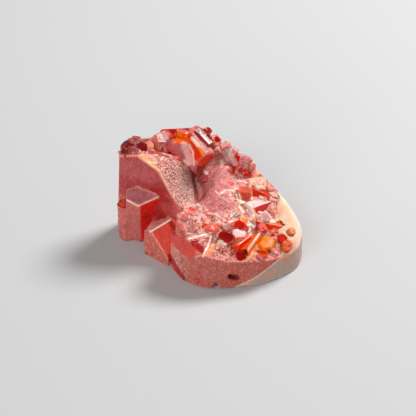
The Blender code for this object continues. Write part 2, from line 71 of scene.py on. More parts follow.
# The photograph's frame: its view is level with X and looks down, and the origin lies at these pixels
IMAGE_SIZE = 416
ELEVATION = math.radians(35)
MM_PER_PIXEL = 0.09
ORIGIN_X = 209.45
ORIGIN_Y = 249.3
LENS = 300.0
SENSOR = 36.0
VIEW_UP = Vector((0, math.sin(ELEVATION), math.cos(ELEVATION)))
VIEW_AHEAD = Vector((0, math.cos(ELEVATION), -math.sin(ELEVATION)))
SIGHT_START = 60
TRACE_DEPTH = 0.2

# The edge of the matrix that rises to close its seam with the crust
SEAM_REACH = 0.09
SEAM_LOWEST = 0.3
SEAM_CLOSING = 0.1

# Flat patches: how far one may bend, and the area from which it counts as a facet
COPLANAR = math.radians(1.5)
FACET_AREA = 0.35
SMALL_STEPS = 2

# Walls and underside, which belong to no crystal: upward part of their normals, and heights
UPRIGHT = 0.1
WALL_FOOT = 1.2
OVERHANG = -0.2
UNDERSIDE_TOP = 4.5

# Which bodies count as single crystals; areas are in square millimetres
RAISED_EDGE = math.radians(20)
SEED_AREA = 0.2
LARGEST_AREA = 6.9
FEWEST_FACETS = 5
THINNEST = 0.08
FLATNESS = 0.03

# The larger crystals as sharp bodies
STAND_CLEAR = 0.03
COVERED_SINK = 0.05
CRYSTAL_CELL = 0.105
BURIED = 0.1
STRETCH = 0.88

# Small crystals, and the pitting of the two at the rim
SMALL_ROOT = 0.5
SMALL_FROST = (0.1, 0.4, 0.7)
LEAN = 0.7
STAND = (-0.1, 0.6)
STEEPEST = 0.15
SEAT_MARGIN = 0.1
ABOVE = 20
DOWN = Vector((0, 0, -1))
RIM_PITTING = 0.03

# Ground walls: how far out they lie, and where in plan they meet the natural left side
OUTWARD = 3.0
FRONT_Y = -2.0
FRONT_LEFT_X = -1.3
LEFT_X = -1.9
REAR_Y = 3.6

# Grains of the broken faces
FINE_RELIEF = 0.05
CLEAR_GRAINS_FROM = 0.7
CLEAR_GRAIN_FROST = 0.1
GRAIN_FROST = 0.75
# How far ridges stand up and grooves sink for their painted highlight and painted shade
HIGHLIGHT_AND_SHADE_BULGE = (0.008, 0.022)

# The painted glow of thin crystal, colour in place of light shining through it, fades with its thickness,
# which is measured from a little inside
SKIN = 0.15
THICKEST = 3.0
FADE = 0.6

# Frost of the mass and of nameless crystals, and the brightness of every patch
MASS_FROST = 0.7
FACET_FROST = (0.0, 0.35)
BRIGHTNESS = (0.84, 1.16)

# Numbers that scatter the cells of the noise
CELL_FACTORS = np.array((374761393, 668265263, 1442695041))
MIXER = 1274126177
NOISE_SHIFT = 7.31
GRAIN_SHIFT = 3.17
OCTAVE_WEIGHT = 0.55

# Lamps round the lit point, in metres and watts: name, direction, distance, size, power
LIT_POINT = Vector((0, 0, 0.004))
LAMPS = (
    ("key", (0.5, 0.45, 0.74), 0.25, 0.1, 0.78),
    ("front_fill", (-0.35, -0.8, 0.5), 0.3, 0.24, 0.55),
    ("left_fill", (-0.9, 0.1, 0.55), 0.3, 0.16, 0.1),
)


def rgb(red, green, blue):
    """A colour picked in sRGB steps, as the linear values that shaders take."""
    return tuple((step / 255) ** 2.2 for step in (red, green, blue))


MAUVE = rgb(174, 60, 66)
DULL_MAUVE = rgb(190, 98, 102)
DULL_RED = rgb(206, 84, 80)
DULL_PINK = rgb(204, 108, 102)
ROSE = rgb(222, 140, 126)
BLUSH = rgb(238, 180, 154)
SAND = rgb(230, 170, 146)
TAN = rgb(206, 134, 98)
CHERRY = rgb(200, 54, 54)
RUBY = rgb(196, 52, 44)
CREAM = rgb(248, 208, 170)
WHITE = rgb(254, 240, 230)
PALE = rgb(255, 220, 204)
DEEP_RED = rgb(172, 14, 8)
MAROON = rgb(116, 8, 8)
RED = rgb(204, 30, 18)
SCARLET = rgb(232, 56, 14)
ORANGE = rgb(248, 100, 8)
HONEY = rgb(240, 126, 0)
YELLOW = rgb(255, 150, 40)
CRIMSON = rgb(172, 20, 26)
FOOT_GLASS = rgb(222, 74, 64)
AMBER = rgb(246, 168, 66)
SALMON = rgb(222, 90, 66)
GROUND_MAUVE = rgb(186, 96, 84)
GROUND_PINK = rgb(200, 96, 80)
GROUND_DARK = rgb(126, 44, 36)
BEIGE = rgb(206, 154, 144)
PINK = rgb(196, 110, 110)
FOOT_PINK = rgb(186, 98, 92)
END_PINK = rgb(214, 96, 82)
FACE_RED = rgb(226, 92, 78)
BRICK = rgb(150, 24, 12)
RIM_RED = rgb(190, 34, 8)
PEARL = rgb(252, 216, 206)
PETAL = rgb(246, 190, 186)
FLANK_PINK = rgb(230, 164, 160)
SHADED_SLOPE = rgb(176, 114, 106)
PALE_SLOPE = rgb(230, 184, 176)
GULLY_PINK = rgb(202, 156, 150)
RIM_ORANGE = rgb(248, 140, 60)
MATRIX_CREAM = rgb(240, 202, 180)
# Tan of the matrix's sawn walls: their duller ground finish with painted shade
MATRIX_GROUND_SHADE = rgb(164, 136, 126)
APRICOT = rgb(244, 152, 100)
OCHRE = rgb(206, 120, 92)
CORAL = rgb(216, 138, 132)
BLOCK_MAUVE = rgb(202, 120, 124)
BLOCK_RED = rgb(226, 48, 38)
CROWN_PINK = rgb(198, 86, 86)
PLUM = rgb(150, 56, 56)
RUSSET = rgb(164, 88, 76)
SPECK_PINK = rgb(248, 206, 190)
SPECK_RED = rgb(130, 12, 8)
SPECK_WHITE = rgb(255, 244, 230)
SPECK_TAN = rgb(214, 190, 168)

FACET_TONES = (RED, DEEP_RED, SCARLET, SCARLET, ORANGE, DULL_PINK, ROSE, ROSE)
GRAIN_TONES = (
    *(BLUSH, WHITE, ROSE, BLUSH, WHITE),
    *(DULL_PINK, BLUSH, SCARLET, ROSE, CREAM),
)

# Areas of the druse: name, reach, colour, strength, frost and marks in the image that it runs through
AREAS = (
    ("left_wall", 2.2, MAUVE, 0.9, 0.3, (128, 180), (138, 168), (150, 185)),
    ("left_wall_top", 1.0, DULL_MAUVE, 0.5, 0.4, (126, 170), (138, 168), (148, 176)),
    ("left_wall_low", 1.6, DEEP_RED, 0.7, 0.2, (160, 200), (174, 220), (165, 215)),
    ("left_wall_foot", 1.0, DEEP_RED, 0.8, 0.1, (150, 214), (162, 232)),
    ("wall_right_end", 0.7, DULL_PINK, 0.6, 0.4, (178, 212), (182, 220)),
    ("slope_foot", 0.7, GULLY_PINK, 0.9, 0.9, (190, 206), (200, 210), (208, 214)),
    ("broken_slope", 2.2, BEIGE, 1.0, 1.0, (166, 170), (176, 180), (186, 196)),
    ("broken_upper", 1.3, SHADED_SLOPE, 0.8, 0.9, (162, 166), (172, 172), (168, 178)),
    ("broken_lower", 0.8, PALE_SLOPE, 0.9, 1.0, (185, 184), (188, 192), (190, 202)),
    # Painted shade: the recess of the hollow is darkened
    ("hollow", 1.0, PLUM, 0.9, 0.3, (198, 178), (206, 184), (203, 195)),
    ("hollow_side", 0.5, BEIGE, 0.6, 0.8, (196, 188), (199, 196)),
    ("middle_ridge", 1.2, CORAL, 0.8, 0.9, (222, 150), (222, 160), (226, 172)),
    ("middle_ridge_low", 0.8, PINK, 0.4, 0.8, (224, 172), (229, 176), (234, 184)),
    ("middle_lump", 1.6, PINK, 0.9, 0.55, (218, 178), (222, 192), (230, 202), (220, 212)),
    ("block_spot", 0.3, ORANGE, 0.6, 0.1, (128, 190), (127, 197)),
    ("block_recess", 0.4, SCARLET, 0.9, 0.0, (132, 236), (138, 240)),
    ("fissure", 0.5, DEEP_RED, 0.9, 0.1, (169, 252), (170, 258)),
    ("foot_rough", 1.0, FOOT_PINK, 0.9, 0.9, (186, 218), (196, 224), (190, 230)),
    ("rim_ground", 0.8, GROUND_PINK, 0.9, 0.95, (216, 250), (228, 249), (240, 252)),
    ("granular_band", 0.9, SAND, 0.9, 0.9, (244, 200), (250, 210), (252, 220), (258, 234)),
    ("granular_upper", 0.7, SAND, 0.8, 0.9, (240, 210), (234, 217), (226, 222)),
    ("cream_streak", 0.3, AMBER, 0.6, 0.3, (242, 259), (250, 255), (258, 252)),
)

# Single crystals: name, colour, frost and a mark on each in the image
CRYSTALS = (
    ("cap", MAROON, 0.2, (124, 142), (129, 146), (124, 151), (142, 146)),
    ("cap_top", PLUM, 0.55, (134, 139), (132, 150), (147, 139)),
    ("crown_flank", FLANK_PINK, 0.8, (163, 145)),
    ("crown_side", DULL_RED, 0.4, (167, 135)),
    ("crown_rear_left", DEEP_RED, 0.2, (170, 131), (174, 133)),
    ("crown_top", ORANGE, 0.2, (181, 134)),
    ("crown_rear", DULL_PINK, 0.5, (195, 130)),
    ("crown_end", SCARLET, 0.05, (207, 158)),
    ("crown_right", DEEP_RED, 0.05, (205, 137)),
    ("crown_bead", DEEP_RED, 0.0, (216, 139), (208, 129)),
    # Painted shade: the crystal in the hollow is darkened with it
    ("hollow_crystal", PLUM, 0.3, (204, 177)),
    ("ridge_low", CORAL, 0.9, (225, 152), (230, 155)),
    ("ridge", DULL_MAUVE, 0.7, (244, 165)),
    ("lump_facet", PINK, 0.55, (217, 176), (229, 170)),
    ("cream_plate", SAND, 0.9, (257, 184)),
    ("plate_end", ROSE, 0.5, (271, 186)),
    ("upright", SALMON, 0.3, (245, 196)),
    ("wedge_red", SCARLET, 0.0, (260, 194)),
    ("wedge_pink", CHERRY, 0.1, (262, 208)),
    ("low_plate", PETAL, 0.7, (261, 215)),
    ("long_crystal", ORANGE, 0.2, (276, 223)),
    ("crossing_crystal", BRICK, 0.45, (261, 227)),
    ("honey_crystal", HONEY, 0.0, (267, 242)),
    ("rim_red", RIM_RED, 0.1, (281, 238)),
    ("dark_block", DEEP_RED, 0.0, (226, 236)),
    ("triangle", RED, 0.0, (240, 225)),
    ("pink_block", PETAL, 0.5, (240, 233)),
    ("blade_right", ORANGE, 0.1, (258, 243)),
    ("dark_front", DEEP_RED, 0.0, (240, 254)),
    ("round_crystal", SALMON, 0.5, (211, 228)),
    ("rim_left", GROUND_PINK, 0.9, (223, 246)),
    ("rim_left_small", BLUSH, 0.5, (221, 242)),
)

# Single faces: name, colour, frost and a mark on each in the image
FACES = (
    ("cap_base", DULL_RED, 0.3, (136, 154)),
    ("upper_slope", RUSSET, 0.8, (166, 160)),
    ("block_top", BLOCK_MAUVE, 0.3, (140, 196)),
    ("block_front", DULL_PINK, 0.35, (134, 220)),
    ("block_side", BLOCK_RED, 0.05, (148, 215)),
    ("pillar_top", SALMON, 0.3, (121, 203)),
    ("pillar_front", DULL_PINK, 0.4, (119, 225), (124, 225)),
    ("front_strip", CORAL, 0.3, (160, 222)),
    ("front_face", FACE_RED, 0.15, (160, 240)),
    ("front_end", END_PINK, 0.6, (150, 248)),
    ("foot_left", DULL_PINK, 0.75, (175, 250)),
    ("foot_middle", GROUND_MAUVE, 0.7, (186, 262)),
    ("foot_plane", FOOT_PINK, 0.8, (198, 236), (212, 240)),
    ("crown_face", CROWN_PINK, 0.35, (190, 160)),
    ("crown_glow", ORANGE, 0.2, (181, 140)),
    ("crown_tip_side", DEEP_RED, 0.2, (201, 168)),
    ("crown_stripe", BRICK, 0.3, (203, 145)),
    ("crown_end_side", SCARLET, 0.1, (196, 156)),
    ("crown_flank_low", DULL_MAUVE, 0.5, (163, 146)),
    ("crown_flank_end", DULL_PINK, 0.5, (154, 140), (154, 147)),
    ("crown_ridge", DULL_RED, 0.3, (184, 130)),
    ("ridge_red", RED, 0.1, (237, 165)),
    ("upright_top", SALMON, 0.4, (244, 189)),
    ("wedge_pink_top", PETAL, 0.4, (258, 203)),
    ("blade_left_top", ORANGE, 0.5, (240, 240)),
    ("blade_right_top", RED, 0.5, (255, 238)),
)

# Thin bright or dark traces: name, half width, colour, strength and marks in the image. The bright traces
# on crests, edges and bars, and those named glint, are painted highlights, partly the crystals' own white
# edges;
# hollow_crevice and front_pit are painted shade
TRACES = (
    ("wall_crest", 0.14, BLUSH, 0.8, (139, 157), (159, 171), (172, 195), (183, 213)),
    ("slope_crest", 0.12, PALE, 0.6, (160, 152), (172, 155), (181, 158), (188, 164)),
    ("cream_patch", 0.34, TAN, 0.85, (144, 155), (150, 157), (155, 162)),
    ("cream_patch_edge", 0.14, AMBER, 0.8, (141, 156), (150, 163), (157, 169)),
    ("patch_glint", 0.07, PALE, 0.9, (155, 155), (160, 153), (164, 156), (161, 160)),
    ("red_band", 0.2, DEEP_RED, 0.9, (142, 152), (156, 152), (168, 156)),
    ("cap_line", 0.1, BLUSH, 0.6, (121, 156), (130, 156), (138, 156)),
    ("crown_face_glow", 0.4, CHERRY, 0.8, (169, 147), (174, 153), (180, 158)),
    ("crown_face_grain", 0.34, PEARL, 0.45, (184, 144), (187, 152), (190, 162)),
    ("crown_vein", 0.09, PALE, 0.8, (189, 145), (193, 152), (194, 165)),
    ("crown_left_glint", 0.16, PALE, 1.0, (192, 138), (196, 143), (199, 147)),
    ("crown_cream_run", 0.18, AMBER, 0.7, (200, 148), (202, 152), (203, 155)),
    ("crown_orange", 0.3, ORANGE, 0.7, (178, 135), (184, 138), (188, 140)),
    ("crown_brown", 0.26, DULL_RED, 0.7, (167, 132), (171, 137), (170, 142)),
    ("crown_flank_base", 0.1, AMBER, 0.8, (150, 145), (154, 147), (160, 149)),
    # Painted shade in the hollow's crevice, and a painted highlight on its wall
    ("hollow_crevice", 0.22, MAROON, 0.6, (196, 170), (194, 182), (197, 198)),
    ("hollow_glint", 0.16, PALE, 1.0, (205, 172), (207, 173)),
    ("lump_foot", 0.1, MAUVE, 0.6, (207, 216), (218, 218), (230, 220), (238, 212)),
    ("block_edge", 0.09, PALE, 0.9, (127, 200), (138, 206), (158, 197)),
    ("block_rear_edge", 0.07, BLUSH, 0.6, (127, 190), (137, 187), (156, 194)),
    ("front_bar", 0.085, WHITE, 1.0, (150, 232), (160, 226), (170, 220)),
    ("front_corner", 0.07, BLUSH, 0.4, (150, 231), (160, 246), (168, 260)),
    ("line_1", 0.1, PALE, 0.95, (190, 238), (201, 235), (211, 233)),
    ("line_2", 0.1, PALE, 0.95, (211, 236), (208, 246), (203, 255)),
    ("line_3", 0.09, BLUSH, 0.9, (196, 256), (204, 254)),
    ("foot_glass", 0.34, CRIMSON, 0.9, (194, 242), (198, 247), (203, 250)),
    ("foot_smooth", 0.6, FOOT_GLASS, 0.8, (172, 236), (180, 243), (190, 252)),
    ("foot_dome_edge", 0.3, RUBY, 0.5, (179, 220), (181, 229), (185, 236)),
    ("spot_under_slope", 0.2, SCARLET, 0.9, (190, 209), (195, 210)),
    ("foot_spot", 0.16, YELLOW, 0.85, (208, 253), (211, 248), (213, 244)),
    # Painted shade in the pit of the front wall
    ("front_pit", 0.3, MAROON, 0.9, (230, 276), (236, 277)),
    ("honey", 0.34, HONEY, 0.9, (259, 245), (266, 246), (273, 243)),
    ("granular_left", 0.34, PEARL, 0.95, (247, 204), (250, 209), (252, 213)),
    ("crown_right_glint", 0.11, WHITE, 1.0, (200, 132), (205, 138), (209, 143)),
    ("cap_right", 0.22, RUSSET, 0.8, (133, 150), (138, 152), (141, 154)),
    ("lump_rim", 0.07, PALE, 0.8, (220, 194), (226, 190), (233, 190), (237, 194), (238, 200)),
    ("lump_line", 0.06, PALE, 0.7, (215, 190), (220, 197)),
    ("lump_line_low", 0.06, PALE, 0.6, (222, 197), (229, 202)),
    ("lump_left_foot", 0.09, PALE, 0.8, (208, 213), (216, 214), (221, 218), (225, 220)),
    ("upright_left_edge", 0.1, WHITE, 0.8, (238, 188), (240, 197), (242, 202)),
    ("upright_top_edge", 0.07, PALE, 0.8, (237, 181), (243, 181), (248, 183)),
    ("upright_right_edge", 0.06, PALE, 0.7, (251, 186), (252, 193), (252, 199)),
    ("upper_pit", 0.16, RED, 0.7, (229, 171), (232, 174)),
    ("lower_pit", 0.18, RED, 0.7, (230, 180), (232, 184)),
    ("ridge_face", 0.28, RED, 0.85, (241, 170), (246, 173), (250, 175)),
    ("front_face_corner", 0.24, DEEP_RED, 0.7, (171, 223), (174, 228), (174, 233)),
    ("foot_line_low", 0.08, WHITE, 0.9, (206, 248), (203, 256)),
    ("round_glint", 0.08, WHITE, 0.7, (211, 223), (213, 228)),
    ("crossing_red", 0.28, DEEP_RED, 0.9, (258, 223), (262, 228), (265, 231)),
    ("honey_foot", 0.2, DEEP_RED, 0.8, (258, 251), (264, 252), (269, 251)),
    ("block_pale_edge", 0.08, PALE, 0.8, (232, 231), (238, 230), (243, 232)),
    ("wedge_red_glint", 0.08, WHITE, 0.8, (260, 196), (263, 197)),
    ("crown_end_glow", 0.35, SCARLET, 0.55, (199, 157), (203, 164)),
    ("ridge_pale", 0.28, PEARL, 0.6, (229, 151), (232, 157), (235, 163)),
    ("long_face", 0.3, SCARLET, 0.95, (263, 226), (271, 228), (281, 227)),
    ("fissure_low", 0.26, DEEP_RED, 0.85, (170, 256), (175, 266), (183, 278)),
    ("plate_spot", 0.18, ORANGE, 0.95, (251, 186), (254, 185)),
    ("point_spot", 0.16, YELLOW, 0.9, (243, 219), (246, 222)),
    ("wedge_red_edge", 0.05, BLUSH, 0.3, (253, 188), (264, 193), (275, 199)),
    ("wedge_pink_edge", 0.07, PALE, 0.6, (253, 208), (262, 204), (272, 201)),
    ("long_edge", 0.07, BLUSH, 0.7, (258, 221), (270, 224), (281, 226)),
    ("glint", 0.18, PALE, 1.0, (268, 220), (275, 221)),
    ("bar_right", 0.12, PALE, 1.0, (259, 234), (254, 241), (248, 249)),
    ("bar_left", 0.06, PALE, 0.6, (234, 243), (238, 240), (242, 238)),
    ("dark_glint", 0.09, PALE, 0.9, (222, 243), (227, 244)),
    ("streak_on_rim", 0.12, ORANGE, 0.6, (270, 211), (280, 209)),
)

# Stains on the matrix: name, reach, colour, strength and marks in the image
STAINS = (
    ("upper", 0.7, APRICOT, 0.5, (284, 210), (289, 220), (291, 228)),
    ("middle", 0.6, APRICOT, 0.5, (288, 240), (293, 238)),
    ("lower", 0.6, OCHRE, 0.5, (284, 256), (292, 250)),
)

# Where grains stand out: name, reach, height, how far they take their own tones and marks in the image
GRAINS = (
    ("right_slope", 1.3, 0.2, 1.0, (244, 196), (252, 208), (256, 224), (262, 234)),
    ("middle_foot", 0.9, 0.16, 0.9, (212, 224), (228, 226), (244, 216)),
    ("front_rim", 0.5, 0.12, 0.4, (250, 256), (264, 252)),
    ("front_left", 1.0, 0.16, 0.5, (188, 216), (200, 222), (192, 230), (206, 232)),
    ("right_corner", 0.9, 0.16, 0.9, (262, 184), (276, 198), (284, 210)),
    ("ridge", 1.2, 0.14, 0.4, (224, 150), (240, 160), (256, 172)),
    ("right_rim", 0.8, 0.16, 0.9, (276, 214), (284, 226), (276, 236)),
    ("gully", 0.5, 0.12, 0.6, (194, 206), (204, 212), (212, 218)),
)

# Spots on the ground faces: name, size, seed, noise where they start and are full, colour, strength
GROUND_SPOTS = (
    ("red_zones", 1.6, 12, -0.1, 0.5, RED, 0.35),
    ("pink_grain", 0.22, 15, 0.0, 0.5, GROUND_PINK, 0.5),
    ("dark_grain", 0.2, 17, 0.1, 0.5, GROUND_DARK, 0.4),
)

# Tufts of small crystals: name, where its marks lie, marks, reach, number, radii and tones
CAP_TONES = (MAROON, DEEP_RED, MAROON, DULL_MAUVE)
RIDGE_TONES = (DULL_MAUVE, DULL_PINK, RED, ROSE)
SLOPE_TONES = (BLUSH, SCARLET, ROSE, RED)
REAR_TONES = (RED, DEEP_RED, SCARLET, DULL_PINK)
TUFTS = (
    ("cap", "image", ((121, 152), (128, 145), (142, 147)), 0.7, 16, (0.08, 0.18), CAP_TONES),
    ("ridge", "image", ((222, 150), (234, 158), (248, 172)), 0.9, 14, (0.06, 0.14), RIDGE_TONES),
    ("right_corner", "image", ((256, 188), (272, 192), (276, 204)), 0.9, 12, (0.06, 0.14), SLOPE_TONES),
    ("right_rim", "image", ((262, 232), (272, 232), (282, 228)), 0.8, 12, (0.06, 0.14), SLOPE_TONES),
    ("rear_left", "plan", ((-5.0, 4.0), (-2.0, 4.8), (1.0, 5.0)), 1.4, 120, (0.12, 0.34), REAR_TONES),
    ("rear_right", "plan", ((1.0, 4.6), (3.6, 4.0), (5.4, 2.6)), 1.4, 120, (0.12, 0.34), REAR_TONES),
)


def image_ray(x, y):
    """Where the line of sight through a pixel starts."""
    right = (x - ORIGIN_X) * MM_PER_PIXEL
    up = (ORIGIN_Y - y) * MM_PER_PIXEL
    return Vector((right, 0, 0)) + VIEW_UP * up - VIEW_AHEAD * SIGHT_START


def seen_at(tree, mark):
    """Place, normal and face of the object that the image shows at a mark."""
    return tree.ray_cast(image_ray(*mark), VIEW_AHEAD)[:3]


def on_surface(tree, marks):
    """The places of the object that the image shows at these marks."""
    hits = (seen_at(tree, mark)[0] for mark in marks)
    return [hit for hit in hits if hit is not None]


def eased(share):
    """A share from 0 to 1 that starts and ends gently."""
    return share * share * (3 - 2 * share)


def smoothstep(values, low, high):
    return eased(np.clip((values - low) / (high - low), 0, 1))


def near(distance, reach, full, none=1.3):
    """1 up to one share of the reach, falling to 0 at another."""
    return 1 - smoothstep(distance, reach * full, reach * none)


def lattice(cell, seed):
    """A fixed number from 0 to 1 for each whole-numbered cell."""
    mixed = (cell @ CELL_FACTORS + seed * MIXER) & 0xFFFFFFFF
    mixed = ((mixed ^ (mixed >> 13)) * MIXER) & 0xFFFFFFFF
    return ((mixed ^ (mixed >> 16)) & 0xFFFFFF) / 0x1000000


def grain(places, size, seed, octaves=2):
    """Smooth noise from -1 to 1 with features of that size; each octave halves it."""
    total, weight, reached = 0, 1.0, 0.0
    for octave in range(octaves):
        points = places * (2**octave / size) + seed * NOISE_SHIFT
        base = np.floor(points).astype(np.int64)
        share = eased(points - base)
        value = 0
        for corner in itertools.product((0, 1), repeat=3):
            closeness = np.where(np.array(corner) == 1, share, 1 - share)
            value = value + closeness.prod(axis=1) * lattice(base + corner, seed + octave)
        total = total + weight * (2 * value - 1)
        reached += weight
        weight *= OCTAVE_WEIGHT
    return total / reached


def grains(places, size, seed):
    """Tilted flat grains of that size: their height, about -1 to 1, and a number from 0 to 1 for each."""
    points = places / size + seed * GRAIN_SHIFT
    base = np.floor(points).astype(np.int64)
    nearest = np.full(len(points), np.inf)
    height, number = np.zeros(len(points)), np.zeros(len(points))
    for corner in itertools.product((-1, 0, 1), repeat=3):
        cell = base + corner
        chances = [lattice(cell, seed + draw) for draw in range(8)]
        away = points - cell - np.stack(chances[:3], axis=1)
        tilt = np.stack(chances[3:6], axis=1) * 2 - 1
        distance = np.linalg.norm(away, axis=1)
        closer = distance < nearest
        own = (away * tilt).sum(axis=1) + chances[6] - 0.5
        height = np.where(closer, own, height)
        number = np.where(closer, chances[7], number)
        nearest = np.minimum(nearest, distance)
    return height, number


def distance_to_path(places, path):
    """Each place's distance to a line through the points of path."""
    path = [np.array(point, float) for point in path]
    nearest = np.linalg.norm(places - path[0], axis=1)
    for start, end in zip(path, path[1:]):
        along = end - start
        share = np.clip(((places - start) @ along) / max(along @ along, 1e-9), 0, 1)
        foot = start + share[:, None] * along
        nearest = np.minimum(nearest, np.linalg.norm(places - foot, axis=1))
    return nearest


def node_bmesh(node):
    """A CAD node's mesh in millimetres, with its split vertices welded."""
    bm = bmesh.new()
    bm.from_mesh(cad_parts[node].data)
    bmesh.ops.transform(bm, matrix=Matrix.Scale(1 / MM, 4), verts=bm.verts)
    bmesh.ops.remove_doubles(bm, verts=bm.verts, dist=0.0005)
    bm.faces.ensure_lookup_table()
    return bm


def new_object(name, data):
    obj = bpy.data.objects.new(name, data)
    bpy.context.scene.collection.objects.link(obj)
    return obj


def mesh_of(bm, name):
    """The mesh that bm has made; bm is freed."""
    mesh = bpy.data.meshes.new(name)
    bm.to_mesh(mesh)
    bm.free()
    return mesh


def remeshed(bm, voxel):
    """One closed surface round everything in bm, in even cells of the voxel's size."""
    mesh = bpy.data.meshes.new("source")
    bm.to_mesh(mesh)
    obj = new_object("source", mesh)
    modifier = obj.modifiers.new("remesh", "REMESH")
    modifier.mode = "VOXEL"
    modifier.voxel_size = voxel
    graph = bpy.context.evaluated_depsgraph_get()
    fine = bpy.data.meshes.new_from_object(obj.evaluated_get(graph))
    bpy.data.objects.remove(obj)
    bpy.data.meshes.remove(mesh)
    return fine


def read(rows, key, width=3, kind=np.float32):
    """One property of all rows of a mesh, as an array."""
    values = np.empty(len(rows) * width, kind)
    rows.foreach_get(key, values)
    return values.reshape(-1, width)


class Surface:
    """A fine mesh as arrays: places, normals, neighbours, colours and frost."""

    def __init__(self, mesh):
        self.mesh = mesh
        self.places = read(mesh.vertices, "co").astype(float)
        self.ends = read(mesh.edges, "vertices", 2, np.int32)
        self.degree = np.bincount(self.ends.ravel(), minlength=len(self.places))
        self.colours = np.zeros_like(self.places)
        self.frost = np.zeros(len(self.places))
        self.update()

    def update(self):
        """Writes the places back and reads the normals again."""
        self.mesh.vertices.foreach_set("co", self.places.astype(np.float32).ravel())
        self.mesh.update()
        self.normals = read(self.mesh.vertex_normals, "vector").astype(float)

    def averaged(self, values):
        """Each vertex's mean over its neighbours."""
        ends, others = self.ends.ravel(), self.ends[:, ::-1].ravel()
        total = np.zeros_like(values)
        for axis in range(values.shape[1]):
            total[:, axis] = np.bincount(ends, values[others, axis], minlength=len(values))
        return total / np.maximum(self.degree, 1)[:, None]

    def smooth(self, factor, rounds):
        for _ in range(rounds):
            self.places += factor * (self.averaged(self.places) - self.places)
        self.update()

    def raise_by(self, offset):
        """Moves each vertex along its normal, but none below the floor."""
        self.places += self.normals * offset[:, None]
        self.places[:, 2] = np.maximum(self.places[:, 2], 0)
        self.update()

    def bulge(self):
        """How far each vertex stands up: above 0 on ridges, below 0 in grooves."""
        return ((self.places - self.averaged(self.places)) * self.normals).sum(axis=1)

    def nearest(self, tree):
        """For each vertex a tree's nearest face and how far it is."""
        found = [tree.find_nearest(Vector(place))[2:] for place in self.places]
        return (np.array(values) for values in zip(*found))

    def grain(self, size, seed, octaves=2):
        return grain(self.places, size, seed, octaves)

    def spots(self, size, seed, low, high):
        """Soft spots of about that size, 1 inside them and 0 between."""
        return smoothstep(self.grain(size, seed), low, high)

    def brighten(self, change):
        """Brightens the colours by a share of themselves."""
        self.colours *= (1 + change)[:, None]

    def blend(self, share, colour):
        self.colours += share[:, None] * (np.array(colour) - self.colours)

    def blend_frost(self, share, frost):
        self.frost += share * (frost - self.frost)

    def finished(self, name, crisp):
        """Writes the colours and makes the object in metres; edges past crisp degrees are hard."""
        attribute = self.mesh.color_attributes.new("tint", "FLOAT_COLOR", "POINT")
        values = np.column_stack([self.colours, self.frost]).clip(0, 1)
        attribute.data.foreach_set("color", values.astype(np.float32).ravel())
        self.mesh.transform(Matrix.Scale(MM, 4))
        self.mesh.name = name
        self.mesh.shade_smooth()
        self.mesh.set_sharp_from_angle(angle=math.radians(crisp))
        return new_object(name, self.mesh)


def paint_areas(surface, crust, owner):
    """Blends the areas into all but the named faces; each keeps to faces that look its way."""
    wobble = 1 + 0.35 * surface.grain(size=0.6, seed=4)
    facing = crust.normals[owner]
    free = np.where(crust.named[owner], 0.0, 1.0)
    for _, reach, colour, strength, frost, *marks in AREAS:
        hits = [hit for hit in (seen_at(crust.tree, mark) for mark in marks) if hit[0] is not None]
        alike = np.max([facing @ np.array(normal) for _, normal, _ in hits], axis=0)
        distance = distance_to_path(surface.places, [place for place, _, _ in hits]) / wobble
        share = free * strength * near(distance, reach, full=0.5)
        share *= smoothstep(alike, 0.1, 0.6)
        surface.blend(share, colour)
        surface.blend_frost(share, frost)


def paint_traces(surface, tree):
    """Draws the thin traces, painted highlights and shade among them, over the rest as they lie in the
    image's plane; pale ones are duller.
    """
    flat = np.array([(1, 0, 0), VIEW_UP, VIEW_AHEAD * TRACE_DEPTH]).T
    places = surface.places @ flat
    for _, width, colour, strength, *marks in TRACES:
        path = [np.array(place) @ flat for place in on_surface(tree, marks)]
        share = strength * near(distance_to_path(places, path), width, full=0.6, none=1.2)
        paleness = min(colour[1], 0.6)
        surface.blend(share, colour)
        surface.blend_frost(share, 0.1 + 0.5 * paleness)


def neighbours(face, raised=False):
    """The faces across each edge of a face, or only across edges that stand up."""
    for edge in face.edges:
        crossed = not raised or edge.is_convex and edge.calc_face_angle(0) > RAISED_EDGE
        for other in edge.link_faces:
            if crossed and other is not face:
                yield other


def patches_of(bm):
    """For each face the number of its flat patch, and for each patch its area."""
    patch = [-1] * len(bm.faces)
    areas = []
    for seed_face in bm.faces:
        if patch[seed_face.index] >= 0:
            continue
        patch[seed_face.index] = len(areas)
        front, area = [seed_face], 0.0
        while front:
            face = front.pop()
            area += face.calc_area()
            for other in neighbours(face):
                bend = other.normal.angle(seed_face.normal, math.pi)
                if patch[other.index] < 0 and bend < COPLANAR:
                    patch[other.index] = len(areas)
                    front.append(other)
        areas.append(area)
    return np.array(patch), np.array(areas)


def grouped(bm, numbers):
    """The faces of bm under the number of each."""
    groups = {}
    for face in bm.faces:
        groups.setdefault(numbers[face.index], []).append(face)
    return groups


def is_outer(faces):
    """Whether a patch is a wall that reaches the floor, or lies underneath."""
    lowest = min(vert.co.z for face in faces for vert in face.verts)
    slant = faces[0].normal.z
    return abs(slant) < UPRIGHT and lowest < WALL_FOOT or slant < OVERHANG and lowest < UNDERSIDE_TOP


